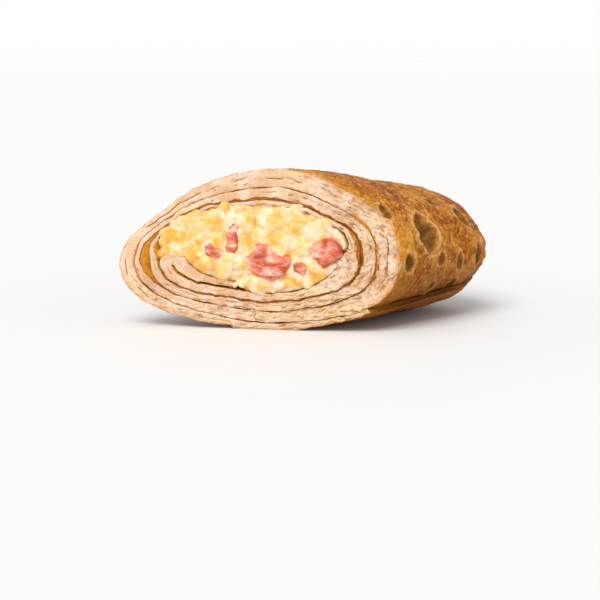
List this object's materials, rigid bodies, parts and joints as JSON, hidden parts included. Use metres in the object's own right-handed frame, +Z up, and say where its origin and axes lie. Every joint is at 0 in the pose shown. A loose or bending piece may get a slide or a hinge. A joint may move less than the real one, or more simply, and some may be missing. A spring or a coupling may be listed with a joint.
{
  "type": "rolled crepe",
  "caption": "Half of a browned rolled crepe, cut on the slant, with creamed egg and diced ham filling showing in the spiral of the cut.",
  "frame": {"origin": "middle of the underside of the bounding box, on the surface the roll rests on", "axes": "+Z up, +Y along the roll from the slanted cut to the folded end, +X across, towards the short side of the cut"},
  "size_m": [0.0498, 0.077, 0.0361],
  "materials": {
    "crepe": "mottled brown baked skin, pale matt crumb where cut",
    "filling": "moist creamed egg",
    "ham": "moist cooked ham"
  },
  "bodies": {
    "root": {"crepe": "crepe", "filling": "filling", "ham_1": "ham", "ham_2": "ham", "ham_3": "ham", "ham_4": "ham", "ham_5": "ham"}
  },
  "joints": []
}
